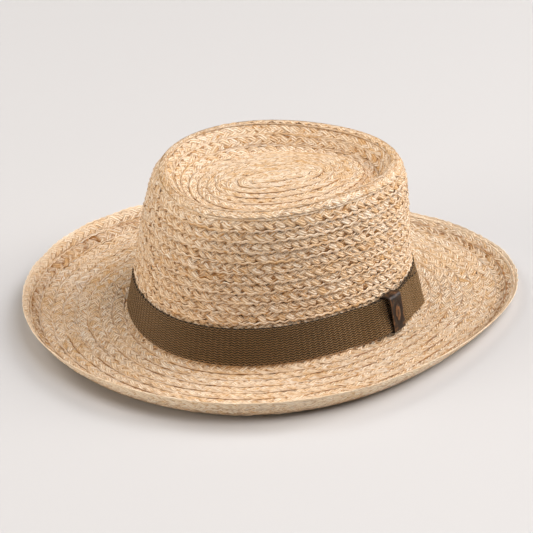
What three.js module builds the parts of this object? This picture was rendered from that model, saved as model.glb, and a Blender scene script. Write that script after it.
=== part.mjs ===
// A gambler hat of sewn straw braid: a telescope crown over a wide brim with a curled
// edge, a woven band whose tail passes through a leather keeper.
//
// Millimetres. The front is at +Y, the wearer's right at +X, and +Z is up. The hat stands
// on the underside of its brim, at z = 0.

import * as THREE from 'three';

// Driving dimensions
const STRAW = 2.8;              // thickness of the sewn braid
const WEBBING = 1.3;            // thickness of the band
const LEATHER = 1.3;            // thickness of the keeper
const GAP = 0.3;                // space between pieces that touch
const JOIN_HEIGHT = 9;          // where the brim's collar meets the crown, behind the band
const BAND_BOTTOM = 5.6;
const BAND_TOP = 31.2;
const KEEPER_ANGLE = -53;       // degrees round from the front, towards the wearer's right
const KEEPER_WIDTH = 12.5;
const KEEPER_DEPTH = 7.6;       // from the crown's wall to the keeper's outer face
const KEEPER_LIP = 1.9;         // how far the keeper reaches past the band's edges
const KEEPER_CORNER = 2.4;
const TAIL_END = -33;           // degrees, where the band's loose tail is cut
const TAIL_START = -62;         // degrees, where the band's hidden end lies under it
const RAMP = 12.5;              // degrees over which the band climbs onto its hidden end
const BULGE_REACH = 17.5;       // degrees each side of the keeper where its back lifts the band
const EDGE_NOSE = 1.2;          // roundness of the brim's edge
const BALANCE = 0.9;            // moves the hat back, so that its outline is centred on the origin
const BACK_SWEEP = 0.3;         // how far round from the sides the back end starts to lift

const ANGLE_STEPS = 60;
const CROWN_ROWS = 22;
const BRIM_ROWS = 15;
const BAND_ROWS = 3;

// The hat's top surface, as rings from the brim's edge to the middle of the tip.
// Each ring is an oval of halfWidth across and halfWidth + longer from its middle to
// each end. shift moves it towards the front; point draws its front end out; square
// fills its quarters; egg narrows its front half. The last four lift parts of a ring:
// sides lifts both sides above the ends, front the front end above the back end, right
// the right side above the left one, and back the back end alone.
const COLUMNS = [
  'halfWidth', 'longer', 'height', 'shift', 'point', 'square', 'egg',
  'sides', 'front', 'right', 'back',
];
const RINGS = {
  edge:         [151.4, 25.2,  16.3, -5.6, 3.8,  1.4, 0.3, 1.7, -4.6, 1.2, 0.0],
  lip:          [148.0, 24.9,  11.6, -5.4, 3.8,  1.4, 0.3, 1.2, -3.0, 0.9, 1.2],
  lip_foot:     [144.0, 24.6,   7.0, -5.2, 3.7,  1.3, 0.3, 0.4, -1.2, 0.4, 2.4],
  bend:         [138.5, 24.4,   3.8, -5.0, 3.6,  1.2, 0.3, 0.0, -0.3, 0.1, 2.8],
  flat_outer:   [131.0, 23.6,   2.8, -4.6, 3.4,  0.9, 0.2, 0.0,  0.0, 0.0, 2.4],
  flat_middle:  [112.0, 22.1,   2.8, -2.9, 2.9,  0.0, 0.1, 0.0,  0.0, 0.0, 0.0],
  flat_inner:   [ 88.5, 20.8,   2.8, -0.6, 2.5, -1.0, 0.0, 0.0,  0.0, 0.0, 0.0],
  fillet:       [ 86.0, 20.8,   3.6, -0.6, 2.5, -1.0, 0.0, 0.0,  0.0, 0.0, 0.0],
  collar:       [ 85.3, 20.8,   5.2, -0.6, 2.5, -1.0, 0.0, 0.0,  0.0, 0.0, 0.0],
  band_foot:    [ 84.9, 20.8,   7.1, -0.6, 2.5, -1.0, 0.0, 0.0,  0.0, 0.0, 0.0],
  band_top:     [ 79.8, 20.8,  31.2, -1.5, 2.5, -1.0, 0.2, 0.0,  0.0, 0.0, 0.0],
  wall:         [ 77.5, 19.6,  58.0, -1.0, 2.9, -0.6, 1.2, 0.4,  0.0, 0.0, 0.0],
  wall_high:    [ 75.5, 18.0,  85.0,  0.6, 3.5, -0.4, 2.4, 1.2,  0.0, 0.0, 0.0],
  shoulder:     [ 73.6, 16.4, 101.5,  1.8, 3.9, -0.3, 3.3, 2.0,  0.0, 0.0, 0.0],
  brow:         [ 70.8, 15.3, 110.2,  2.7, 4.2, -0.3, 3.6, 2.4,  0.0, 0.0, 0.0],
  ridge:        [ 66.4, 15.0, 113.0,  2.7, 4.2, -0.3, 3.6, 2.5,  0.0, 0.0, 0.0],
  inner_slope:  [ 57.5, 16.4, 107.6,  3.4, 3.8, -0.2, 3.4, 1.8, -0.6, 0.0, 0.0],
  groove:       [ 48.0, 18.0,  99.4,  4.6, 3.2,  0.0, 3.0, 0.6, -1.4, 0.0, 0.0],
  plateau_rim:  [ 40.0, 18.5, 101.2,  4.0, 2.0,  0.0, 2.0, 0.0,  1.0, 0.0, 0.0],
  plateau:      [ 28.0, 18.5, 102.8,  3.2, 1.0,  0.0, 1.0, 0.0,  0.8, 0.0, 0.0],
  middle:       [  0.0, 18.5, 103.6,  2.4, 0.0,  0.0, 0.0, 0.0,  0.3, 0.0, 0.0],
};

const radians = THREE.MathUtils.degToRad;

// Turns the table into a smooth function from a ring's place to its sizes. The place is
// the distance from the brim's edge over the surface, and no size overshoots its rows.
function makeProfile(rings) {
  const rows = Object.values(rings);
  const height = COLUMNS.indexOf('height');
  const places = [0];
  for (let i = 1; i < rows.length; i++) {
    const across = rows[i][0] - rows[i - 1][0];
    const up = rows[i][height] - rows[i - 1][height];
    places.push(places[i - 1] + Math.hypot(across, up));
  }
  const last = rows.length - 1;
  const slopes = COLUMNS.map((_, column) => {
    const steps = [];
    for (let i = 0; i < last; i++) {
      steps.push((rows[i + 1][column] - rows[i][column]) / (places[i + 1] - places[i]));
    }
    const result = [steps[0]];
    for (let i = 1; i < last; i++) {
      const product = steps[i - 1] * steps[i];
      result.push(product <= 0 ? 0 : (2 * product) / (steps[i - 1] + steps[i]));
    }
    result.push(column === height ? 0 : steps[last - 1]);
    return result;
  });
  const at = (place) => {
    let i = 0;
    while (i < last - 1 && place > places[i + 1]) {
      i++;
    }
    const span = places[i + 1] - places[i];
    const u = THREE.MathUtils.clamp((place - places[i]) / span, 0, 1);
    const ring = {};
    COLUMNS.forEach((name, column) => {
      const bend0 = slopes[column][i] * span;
      const bend1 = slopes[column][i + 1] * span;
      const rise = rows[i + 1][column] - rows[i][column];
      ring[name] = rows[i][column] + u * bend0
        + u * u * (3 * rise - 2 * bend0 - bend1)
        + u * u * u * (bend0 + bend1 - 2 * rise);
    });
    return ring;
  };
  const placeOf = (name) => places[Object.keys(rings).indexOf(name)];
  return { at, placeOf, length: places[last] };
}

const profile = makeProfile(RINGS);

// Where on the wall the surface has a given height, by halving.
function wallPlace(height) {
  let low = profile.placeOf('fillet');
  let high = profile.placeOf('ridge');
  for (let i = 0; i < 40; i++) {
    const middle = (low + high) / 2;
    if (profile.at(middle).height < height) {
      low = middle;
    } else {
      high = middle;
    }
  }
  return low;
}

// A point of a ring, at an angle round from the front end.
function ringPoint(ring, angle) {
  const along = Math.cos(angle);
  const across = Math.sin(angle);
  const shape = 1 + (ring.point * Math.cos(3 * angle) + ring.square * Math.cos(4 * angle)) / 100;
  const halfWidth = ring.halfWidth * shape * (1 - ring.egg / 100 * along);
  const halfLength = (ring.halfWidth + ring.longer) * shape;
  const backOnly = Math.max(0, -along - BACK_SWEEP) / (1 - BACK_SWEEP);
  const lift = ring.front * along - ring.sides * Math.cos(2 * angle) - ring.right * across
    + ring.back * backOnly ** 2;
  return new THREE.Vector3(
    -halfWidth * across,
    halfLength * along + ring.shift,
    ring.height + lift,
  );
}

function surfacePoint(place, angle) {
  return ringPoint(profile.at(place), angle);
}

// The surface's unit normal, pointing out of the hat's top side.
function surfaceNormal(place, angle) {
  if (profile.length - place < 1) {
    return new THREE.Vector3(0, 0, 1);
  }
  const step = 0.05;
  const turn = 0.002;
  const inwards = surfacePoint(place + step, angle).sub(surfacePoint(place - step, angle));
  const round = surfacePoint(place, angle + turn).sub(surfacePoint(place, angle - turn));
  return round.cross(inwards).normalize();
}

function offsetPoint(place, angle, distance) {
  return surfacePoint(place, angle).addScaledVector(surfaceNormal(place, angle), distance);
}

// A point under the surface. The flat of the underside lies exactly on z = 0.
function undersidePoint(place, angle) {
  const point = offsetPoint(place, angle, -STRAW);
  if (Math.abs(point.z) < 0.06) {
    point.z = 0;
  }
  return point;
}

// Joins rows of points into a closed mesh. Points that coincide are shared, and
// triangles that collapse to a line are left out.
function closedMesh(quads) {
  const index = new Map();
  const positions = [];
  const triangles = [];
  const vertex = (point) => {
    const key = [point.x, point.y, point.z].map((value) => Math.round(value * 1e4)).join();
    if (!index.has(key)) {
      index.set(key, positions.length / 3);
      positions.push(point.x, point.y, point.z);
    }
    return index.get(key);
  };
  const addTriangle = (a, b, c) => {
    if (a !== b && b !== c && c !== a) {
      triangles.push(a, b, c);
    }
  };
  for (const [p, q, r, s] of quads) {
    const [a, b, c, d] = [vertex(p), vertex(q), vertex(r), vertex(s)];
    addTriangle(a, b, c);
    addTriangle(a, c, d);
  }
  const geometry = new THREE.BufferGeometry();
  geometry.setAttribute('position', new THREE.Float32BufferAttribute(positions, 3));
  geometry.setIndex(triangles);
  geometry.computeVertexNormals();
  return geometry;
}

// Quads between neighbouring loops of points, each loop running the same way.
function skin(loops, closed) {
  const quads = [];
  for (let i = 0; i + 1 < loops.length; i++) {
    const count = loops[i].length;
    const steps = closed ? count : count - 1;
    for (let j = 0; j < steps; j++) {
      const k = (j + 1) % count;
      quads.push([loops[i][j], loops[i][k], loops[i + 1][k], loops[i + 1][j]]);
    }
  }
  return quads;
}

const angles = Array.from({ length: ANGLE_STEPS }, (_, i) => (2 * Math.PI * i) / ANGLE_STEPS);

// Places spread evenly between two, with extra ones where the table has rings.
function spread(start, end, count) {
  return Array.from({ length: count + 1 }, (_, i) => start + ((end - start) * i) / count);
}

function makeCrown() {
  const places = spread(wallPlace(JOIN_HEIGHT + GAP), profile.length, CROWN_ROWS);
  const top = places.map((place) => angles.map((angle) => surfacePoint(place, angle)));
  const under = places.map((place) => angles.map((angle) => undersidePoint(place, angle)));
  return closedMesh(skin([...under.reverse(), ...top], true));
}

function makeBrim() {
  const places = spread(0, wallPlace(JOIN_HEIGHT), BRIM_ROWS - 3);
  const flats = ['bend', 'flat_outer', 'flat_middle', 'flat_inner', 'fillet', 'collar', 'band_foot'];
  const all = [...places, ...flats.map(profile.placeOf)].sort((a, b) => a - b)
    .filter((place, i, list) => i === 0 || place - list[i - 1] > 0.4);
  const top = all.map((place) => angles.map((angle) => surfacePoint(place, angle)));
  const under = all.map((place) => angles.map((angle) => undersidePoint(place, angle)));
  const nose = angles.map((angle) => {
    const inwards = surfacePoint(1, angle).sub(surfacePoint(0, angle)).normalize();
    const normal = surfaceNormal(0.1, angle);
    return surfacePoint(0, angle).addScaledVector(normal, -STRAW / 2)
      .addScaledVector(inwards, -EDGE_NOSE);
  });
  const bottomUp = under.reverse();
  const loops = [...bottomUp, nose, ...top];
  return closedMesh(skin([...loops, loops[0]], true));
}

// How far the band's inner face stands off the crown's wall at an angle in degrees that
// keeps counting past the first turn, where the band lies on its own hidden end.
function bandStandOff(degrees) {
  const smooth = THREE.MathUtils.smoothstep;
  const climb = smooth(degrees, TAIL_START + 360 - RAMP, TAIL_START + 360);
  const turned = THREE.MathUtils.euclideanModulo(degrees - KEEPER_ANGLE + 180, 360) - 180;
  const bulge = 1 - smooth(Math.abs(turned), 6, BULGE_REACH);
  return GAP + climb * (WEBBING + GAP) + bulge * (LEATHER + 2 * GAP);
}

function makeBand() {
  const step = 360 / ANGLE_STEPS / 2;
  const first = Math.ceil(TAIL_START / step) * step;
  const last = Math.floor((TAIL_END + 360) / step) * step;
  const places = spread(wallPlace(BAND_BOTTOM), wallPlace(BAND_TOP), BAND_ROWS - 1);
  const loops = [];
  for (let degrees = first; degrees <= last + 1e-6; degrees += step) {
    const standOff = bandStandOff(degrees);
    const inner = places.map((place) => offsetPoint(place, radians(degrees), standOff));
    const outer = places.map((place) => offsetPoint(place, radians(degrees), standOff + WEBBING));
    loops.push([...inner, ...outer.reverse()]);
  }
  const cap = (loop) => {
    const quads = [];
    for (let i = 0; i + 1 < BAND_ROWS; i++) {
      const j = loop.length - 1 - i;
      quads.push([loop[i], loop[i + 1], loop[j - 1], loop[j]]);
    }
    return quads;
  };
  const turned = (quads) => quads.map(([a, b, c, d]) => [d, c, b, a]);
  const start = turned(cap(loops[0]));
  const end = cap(loops[loops.length - 1]);
  return closedMesh([...start, ...skin(loops, true), ...end]);
}

// A rectangle with rounded corners, in the plane that cuts through the band.
function roundedRectangle(path, left, bottom, right, top, radius) {
  const quarter = Math.PI / 2;
  path.absarc(right - radius, bottom + radius, radius, -quarter, 0);
  path.absarc(right - radius, top - radius, radius, 0, quarter);
  path.absarc(left + radius, top - radius, radius, quarter, 2 * quarter);
  path.absarc(left + radius, bottom + radius, radius, 2 * quarter, 3 * quarter);
  path.closePath();
  return path;
}

// The keeper is a flat loop of leather. Its section lies in the plane of the wall's
// outward normal and its slope, and it is as wide as the strap it is cut from.
function makeKeeper(material) {
  const angle = radians(KEEPER_ANGLE);
  const low = surfacePoint(wallPlace(BAND_BOTTOM), angle);
  const high = surfacePoint(wallPlace(BAND_TOP), angle);
  const rise = high.clone().sub(low);
  const round = surfacePoint(wallPlace(BAND_BOTTOM), angle + 0.01).sub(low).normalize();
  const up = rise.clone().normalize();
  const out = round.clone().cross(up).normalize();
  const side = out.clone().cross(up).normalize();

  const bottom = -KEEPER_LIP;
  const top = rise.length() + KEEPER_LIP;
  const back = GAP;
  const shape = roundedRectangle(new THREE.Shape(), back, bottom, KEEPER_DEPTH, top, KEEPER_CORNER);
  const inside = roundedRectangle(
    new THREE.Path(), back + LEATHER, bottom + LEATHER, KEEPER_DEPTH - LEATHER, top - LEATHER,
    KEEPER_CORNER - LEATHER,
  );
  shape.holes.push(inside);
  const geometry = new THREE.ExtrudeGeometry(shape, {
    depth: KEEPER_WIDTH,
    bevelEnabled: false,
    curveSegments: 4,
  });
  geometry.translate(0, 0, -KEEPER_WIDTH / 2);
  const keeper = new THREE.Mesh(geometry, material);
  keeper.applyMatrix4(new THREE.Matrix4().makeBasis(out, up, side).setPosition(low));
  return keeper;
}

const straw = new THREE.MeshStandardMaterial({ color: 0xe8cba4, roughness: 0.75, metalness: 0 });
const strawBrim = straw.clone();
const webbing = new THREE.MeshStandardMaterial({ color: 0x7d7052, roughness: 0.9, metalness: 0 });
const leather = new THREE.MeshStandardMaterial({ color: 0x4a3328, roughness: 0.45, metalness: 0 });

const hat = new THREE.Group();
hat.name = 'gambler_hat';
hat.position.y = -BALANCE;

function addPiece(name, mesh) {
  mesh.name = name;
  hat.add(mesh);
}

addPiece('crown', new THREE.Mesh(makeCrown(), straw));
addPiece('brim', new THREE.Mesh(makeBrim(), strawBrim));
addPiece('hat_band', new THREE.Mesh(makeBand(), webbing));
addPiece('band_keeper', makeKeeper(leather));

export default hat;
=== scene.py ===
"""Dresses the gambler hat: sewn raffia braid, a khaki webbing band and a leather keeper.

Every piece follows the same rings as the hat's solids. The classes hold their sizes in
millimetres, and the meshes are in metres. The front of the hat is at +Y.
"""

import logging
import math
from dataclasses import dataclass, field
from enum import Enum

import bpy
import numpy as np
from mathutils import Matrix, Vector

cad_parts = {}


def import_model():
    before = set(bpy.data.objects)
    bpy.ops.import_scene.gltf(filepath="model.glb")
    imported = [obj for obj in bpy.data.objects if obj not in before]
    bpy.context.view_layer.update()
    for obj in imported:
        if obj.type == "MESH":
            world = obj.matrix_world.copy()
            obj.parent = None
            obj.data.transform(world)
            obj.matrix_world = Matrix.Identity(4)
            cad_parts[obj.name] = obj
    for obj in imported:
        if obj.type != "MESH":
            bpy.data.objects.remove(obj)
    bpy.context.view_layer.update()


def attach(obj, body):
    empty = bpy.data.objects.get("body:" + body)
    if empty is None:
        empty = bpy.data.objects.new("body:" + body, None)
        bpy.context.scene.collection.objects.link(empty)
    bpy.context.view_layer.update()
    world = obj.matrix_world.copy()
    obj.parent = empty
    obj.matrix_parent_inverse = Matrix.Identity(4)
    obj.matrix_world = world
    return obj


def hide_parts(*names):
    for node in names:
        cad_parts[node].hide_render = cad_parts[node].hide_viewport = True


LOG = logging.getLogger("gambler_hat")
MM = 0.001
BODY = "root"

# Types: arrays that belong together, a place or direction, and a Map Range's four values.
Arrays = tuple[np.ndarray, ...]
Triple = tuple[float, float, float]
Range = tuple[float, float, float, float]

# Small steps over a surface, in millimetres and in radians, that give its slopes.
PROBE = 0.05
PROBE_TURN = 0.002
# The numbers of a Mix node's sockets, when it is set to colour.
FACTOR, UNDER, OVER, MIXED = 0, 6, 7, 2
# The inputs of a Map Range node: the two values it reads, and what it makes of them.
RANGE = ("From Min", "From Max", "To Min", "To Max")
# The spacing of a wave texture's bands at scale 1.
WAVE_SPACING = 0.314

# The hat's rings, from the brim's edge to the middle of the tip. A ring is an oval of
# half_width across and half_width + longer from its middle to each end. The other
# columns shift it forward, draw out its front, fill its quarters, narrow its front half,
# and lift its sides, its front end, its right side and its back end.
COLUMNS = (
    "half_width", "longer", "height", "shift", "point", "square", "egg",
    "sides", "front", "right", "back",
)
HEIGHT = COLUMNS.index("height")
RINGS = {
    "edge": (151.4, 25.2, 16.3, -5.6, 3.8, 1.4, 0.3, 1.7, -4.6, 1.2, 0.0),
    "lip": (148.0, 24.9, 11.6, -5.4, 3.8, 1.4, 0.3, 1.2, -3.0, 0.9, 1.2),
    "lip_foot": (144.0, 24.6, 7.0, -5.2, 3.7, 1.3, 0.3, 0.4, -1.2, 0.4, 2.4),
    "bend": (138.5, 24.4, 3.8, -5.0, 3.6, 1.2, 0.3, 0.0, -0.3, 0.1, 2.8),
    "flat_outer": (131.0, 23.6, 2.8, -4.6, 3.4, 0.9, 0.2, 0.0, 0.0, 0.0, 2.4),
    "flat_middle": (112.0, 22.1, 2.8, -2.9, 2.9, 0.0, 0.1, 0.0, 0.0, 0.0, 0.0),
    "flat_inner": (88.5, 20.8, 2.8, -0.6, 2.5, -1.0, 0.0, 0.0, 0.0, 0.0, 0.0),
    "fillet": (86.0, 20.8, 3.6, -0.6, 2.5, -1.0, 0.0, 0.0, 0.0, 0.0, 0.0),
    "collar": (85.3, 20.8, 5.2, -0.6, 2.5, -1.0, 0.0, 0.0, 0.0, 0.0, 0.0),
    "band_foot": (84.9, 20.8, 7.1, -0.6, 2.5, -1.0, 0.0, 0.0, 0.0, 0.0, 0.0),
    "band_top": (79.8, 20.8, 31.2, -1.5, 2.5, -1.0, 0.2, 0.0, 0.0, 0.0, 0.0),
    "wall": (77.5, 19.6, 58.0, -1.0, 2.9, -0.6, 1.2, 0.4, 0.0, 0.0, 0.0),
    "wall_high": (75.5, 18.0, 85.0, 0.6, 3.5, -0.4, 2.4, 1.2, 0.0, 0.0, 0.0),
    "shoulder": (73.6, 16.4, 101.5, 1.8, 3.9, -0.3, 3.3, 2.0, 0.0, 0.0, 0.0),
    "brow": (70.8, 15.3, 110.2, 2.7, 4.2, -0.3, 3.6, 2.4, 0.0, 0.0, 0.0),
    "ridge": (66.4, 15.0, 113.0, 2.7, 4.2, -0.3, 3.6, 2.5, 0.0, 0.0, 0.0),
    "inner_slope": (57.5, 16.4, 107.6, 3.4, 3.8, -0.2, 3.4, 1.8, -0.6, 0.0, 0.0),
    "groove": (48.0, 18.0, 99.4, 4.6, 3.2, 0.0, 3.0, 0.6, -1.4, 0.0, 0.0),
    "plateau_rim": (40.0, 18.5, 101.2, 4.0, 2.0, 0.0, 2.0, 0.0, 1.0, 0.0, 0.0),
    "plateau": (28.0, 18.5, 102.8, 3.2, 1.0, 0.0, 1.0, 0.0, 0.8, 0.0, 0.0),
    "middle": (0.0, 18.5, 103.6, 2.4, 0.0, 0.0, 0.0, 0.0, 0.3, 0.0, 0.0),
}


class Slot(Enum):
    """The record's material slots."""

    STRAW = "straw_braid"
    BAND = "woven_band"
    KEEPER = "keeper_leather"


class Zone(Enum):
    """The stretches of the spiral, from the tip outwards: a piece's name and its node."""

    TIP = ("tip_braid", "crown")
    SHOULDER = ("shoulder_braid", "crown")
    WALL = ("wall_braid", "crown")
    BRIM_INNER = ("brim_inner_braid", "brim")
    BRIM_OUTER = ("brim_outer_braid", "brim")


def linear(hex_colour: str) -> tuple[float, float, float, float]:
    """Turns an sRGB colour into a linear one.

    Args:
        hex_colour: six hex digits, with or without a leading #.

    Returns:
        Red, green, blue and alpha, linear, from 0 to 1.
    """
    digits = hex_colour.lstrip("#")
    channels = [int(digits[i:i + 2], 16) / 255 for i in (0, 2, 4)]
    light = [c / 12.92 if c <= 0.04045 else ((c + 0.055) / 1.055) ** 2.4 for c in channels]
    return (light[0], light[1], light[2], 1.0)


def feed(tree: bpy.types.NodeTree, node: bpy.types.Node, links: dict) -> None:
    """Links sockets to a node's inputs, which go by name or number."""
    for name, socket in links.items():
        tree.links.new(socket, node.inputs[name])


def add_node(
    tree: bpy.types.NodeTree, kind: str, settings: dict | None = None,
    values: dict | None = None, links: dict | None = None, stops: list | None = None,
) -> bpy.types.Node:
    """Adds a node to a tree, with its settings and links.

    Args:
        tree: the node tree.
        kind: the node's type, such as ShaderNodeTexNoise.
        settings: the node's own properties, by name.
        values: constant values of its inputs, by name or number.
        links: the sockets that feed its inputs, by name or number.
        stops: places and colours of a colour ramp.

    Returns:
        The new node.
    """
    node = tree.nodes.new(kind)
    for name, value in (settings or {}).items():
        setattr(node, name, value)
    for name, value in (values or {}).items():
        node.inputs[name].default_value = value
    feed(tree, node, links or {})
    if stops:
        elements = node.color_ramp.elements
        while len(elements) < len(stops):
            elements.new(0.5)
        for element, (place, colour) in zip(elements, stops):
            element.position = place
            element.color = colour
    return node


def new_material(
    name: str, values: dict,
) -> tuple[bpy.types.Material, bpy.types.NodeTree, bpy.types.Node]:
    """Makes a material that has a shader and no patterns yet.

    Args:
        name: the material's name.
        values: the shader inputs that are the same all over the surface, by name.

    Returns:
        The material, its node tree and its shader node.
    """
    material = bpy.data.materials.new(name)
    material.use_nodes = True
    tree = material.node_tree
    tree.nodes.clear()
    shader = add_node(tree, "ShaderNodeBsdfPrincipled", values=values)
    add_node(tree, "ShaderNodeOutputMaterial", links={"Surface": shader.outputs[0]})
    return material, tree, shader


def unit(vectors: np.ndarray) -> np.ndarray:
    """Scales each vector of an array to length 1."""
    length = np.linalg.norm(vectors, axis=-1, keepdims=True)
    return vectors / np.maximum(length, 1e-12)


def smoothstep(value: np.ndarray, low: float, high: float) -> np.ndarray:
    """Rises smoothly from 0 at low to 1 at high."""
    u = np.clip((value - low) / (high - low), 0, 1)
    return u * u * (3 - 2 * u)


def smooth_noise(rng: np.random.Generator, count: int, reach: float) -> np.ndarray:
    """Random values that change slowly along a line.

    Args:
        rng: the seeded generator.
        count: how many values.
        reach: over how many values the noise is smoothed.

    Returns:
        Values with a mean of 0 and a spread of 1.
    """
    radius = math.ceil(3 * reach)
    kernel = np.exp(-0.5 * (np.arange(-radius, radius + 1) / reach) ** 2)
    raw = rng.standard_normal(count + 2 * radius)
    smooth = np.convolve(raw, kernel, mode="valid")[:count]
    return smooth / math.sqrt(float(np.sum(kernel ** 2)))


def even_steps(line: np.ndarray, step: float) -> Arrays:
    """Measures a line and divides it into even steps.

    Args:
        line: the line's points.
        step: the length of a step.

    Returns:
        The distance along the line at each point, and at each even step.
    """
    lengths = np.linalg.norm(np.diff(line, axis=0), axis=1)
    run = np.concatenate([[0], np.cumsum(lengths)])
    return run, np.linspace(0, run[-1], int(run[-1] / step))


def add_object(name: str, data: bpy.types.ID) -> bpy.types.Object:
    """Makes an object and links it to the scene.

    Args:
        name: the object's name.
        data: its mesh, light or camera.

    Returns:
        The object, at the origin.
    """
    thing = bpy.data.objects.new(name, data)
    bpy.context.scene.collection.objects.link(thing)
    return thing


def mesh_object(
    name: str, points: np.ndarray, faces: list[list[int]], attributes: dict[str, np.ndarray],
) -> bpy.types.Object:
    """Makes a smooth-shaded mesh object in metres.

    Args:
        name: the object's name.
        points: vertices in millimetres, n by 3.
        faces: lists of vertex numbers.
        attributes: values for each vertex, by name: n by 3, or n.

    Returns:
        The object, linked to the scene.
    """
    mesh = bpy.data.meshes.new(name)
    mesh.from_pydata((points * MM).tolist(), [], faces)
    for key, values in attributes.items():
        kind, target = ("FLOAT_VECTOR", "vector") if values.ndim == 2 else ("FLOAT", "value")
        layer = mesh.attributes.new(key, kind, "POINT")
        layer.data.foreach_set(target, values.astype(np.float32).ravel())
    mesh.shade_smooth()
    mesh.update()
    return add_object(name, mesh)


def tube_faces(
    rows: int, sides: int, first: int = 0, closed: bool = False,
) -> list[list[int]]:
    """Faces of a tube made of rows of points, closed at its ends or joined to itself.

    Args:
        rows: how many rows of points along the tube.
        sides: how many points in a row.
        first: the number of the tube's first vertex.
        closed: True where the last row joins the first.

    Returns:
        Lists of vertex numbers.
    """
    steps = rows if closed else rows - 1
    i = np.repeat(np.arange(steps), sides)
    j = np.tile(np.arange(sides), steps)
    k = (j + 1) % sides
    below = (i % rows) * sides
    above = ((i + 1) % rows) * sides
    quads = np.stack([below + j, above + j, above + k, below + k], axis=1) + first
    faces = quads.tolist()
    if not closed:
        faces.append((first + np.arange(sides)).tolist())
        last = first + (rows - 1) * sides
        faces.append((last + np.arange(sides))[::-1].tolist())
    return faces


def place_piece(
    piece: bpy.types.Object, finish: bpy.types.Material, slot: Slot, *nodes: str,
) -> None:
    """Dresses a piece and lets it ride on the hat in place of CAD nodes.

    Args:
        piece: the mesh object.
        finish: the material.
        slot: the record's slot that the finish belongs to; not used.
        nodes: the CAD nodes that the piece stands for.
    """
    piece.data.materials.append(finish)
    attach(piece, BODY)
    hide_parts(*nodes)
    LOG.info("%s: %d faces, for %s", piece.name, len(piece.data.polygons), ", ".join(nodes))


@dataclass
class HatSurface:
    """The hat's top surface as a smooth function of a place and an angle."""

    # How far the whole hat is moved back, and where the lift of its back end begins, as
    # the cosine of the angle from the back.
    balance: float = 0.9
    back_sweep: float = 0.3
    rows: np.ndarray = field(init=False)
    places: np.ndarray = field(init=False)
    slopes: np.ndarray = field(init=False)

    def __post_init__(self) -> None:
        """Works out each ring's place, and slopes that keep each size from overshooting."""
        self.rows = np.array(list(RINGS.values()))
        steps = np.diff(self.rows, axis=0)
        run = np.hypot(steps[:, 0], steps[:, HEIGHT])
        self.places = np.concatenate([[0.0], np.cumsum(run)])
        grades = steps / run[:, None]
        product = grades[:-1] * grades[1:]
        total = grades[:-1] + grades[1:]
        inner = np.where(product > 0, 2 * product / np.where(total == 0, 1, total), 0)
        last = grades[-1].copy()
        last[HEIGHT] = 0
        self.slopes = np.vstack([grades[0], inner, last])

    @property
    def length(self) -> float:
        """The distance over the surface from the brim's edge to the middle."""
        return float(self.places[-1])

    def place_of(self, name: str) -> float:
        """The place of a ring of the table."""
        return float(self.places[list(RINGS).index(name)])

    def ring(self, place: np.ndarray) -> np.ndarray:
        """The ring sizes at places between the edge and the middle.

        Args:
            place: distances from the edge over the surface.

        Returns:
            One row per place, with one column per size.
        """
        i = np.clip(np.searchsorted(self.places, place, side="right") - 1, 0, len(self.rows) - 2)
        span = (self.places[i + 1] - self.places[i])[:, None]
        u = np.clip((place - self.places[i])[:, None] / span, 0, 1)
        bend0 = self.slopes[i] * span
        bend1 = self.slopes[i + 1] * span
        rise = self.rows[i + 1] - self.rows[i]
        cubic = bend0 + bend1 - 2 * rise
        return self.rows[i] + u * bend0 + u ** 2 * (3 * rise - 2 * bend0 - bend1) + u ** 3 * cubic

    def ring_point(self, place: np.ndarray, angle: np.ndarray) -> np.ndarray:
        """Points at places between the edge and the middle.

        Args:
            place: distances from the edge over the surface.
            angle: angles round from the front, in radians.

        Returns:
            Points in millimetres, n by 3.
        """
        size = dict(zip(COLUMNS, self.ring(place).T))
        along = np.cos(angle)
        across = np.sin(angle)
        shape = 1 + (size["point"] * np.cos(3 * angle) + size["square"] * np.cos(4 * angle)) / 100
        half_width = size["half_width"] * shape * (1 - size["egg"] / 100 * along)
        half_length = (size["half_width"] + size["longer"]) * shape
        back_only = np.maximum(0, -along - self.back_sweep) / (1 - self.back_sweep)
        lift = size["front"] * along - size["sides"] * np.cos(2 * angle)
        lift = lift - size["right"] * across + size["back"] * back_only ** 2
        ahead = half_length * along + size["shift"] - self.balance
        return np.stack([-half_width * across, ahead, size["height"] + lift], axis=1)

    def point(self, place: np.ndarray, angle: np.ndarray) -> np.ndarray:
        """Points of the surface, which runs on past its edge and across its middle.

        Args:
            place: distances from the edge over the surface.
            angle: angles round from the front, in radians.

        Returns:
            Points in millimetres, n by 3.
        """
        past_edge = np.minimum(place, 0)[:, None]
        crossed = place > self.length
        inside = np.where(crossed, 2 * self.length - place, np.maximum(place, 0))
        angle = np.where(crossed, -angle, angle)
        points = self.ring_point(inside, angle)
        inwards = self.ring_point(inside + 1, angle) - points
        return points + past_edge * unit(inwards)

    def normal(self, place: np.ndarray, angle: np.ndarray) -> np.ndarray:
        """Which way the surface faces.

        Args:
            place: distances from the edge over the surface.
            angle: angles round from the front, in radians.

        Returns:
            Unit normals that point out of the hat's top side.
        """
        inwards = self.point(place + PROBE, angle) - self.point(place - PROBE, angle)
        around = self.point(place, angle + PROBE_TURN) - self.point(place, angle - PROBE_TURN)
        normal = unit(np.cross(around, inwards))
        # Within a millimetre of the middle the rings are too small to measure.
        normal[np.abs(self.length - place) < 1] = (0, 0, 1)
        return normal

    def wall_place(self, height: float) -> float:
        """Finds a height on the crown's wall, by halving.

        Args:
            height: the height over the floor.

        Returns:
            The place of that height.
        """
        low = self.place_of("fillet")
        high = self.place_of("ridge")
        for _ in range(40):
            middle = (low + high) / 2
            if self.ring(np.array([middle]))[0, HEIGHT] < height:
                low = middle
            else:
                high = middle
        return low


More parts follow.
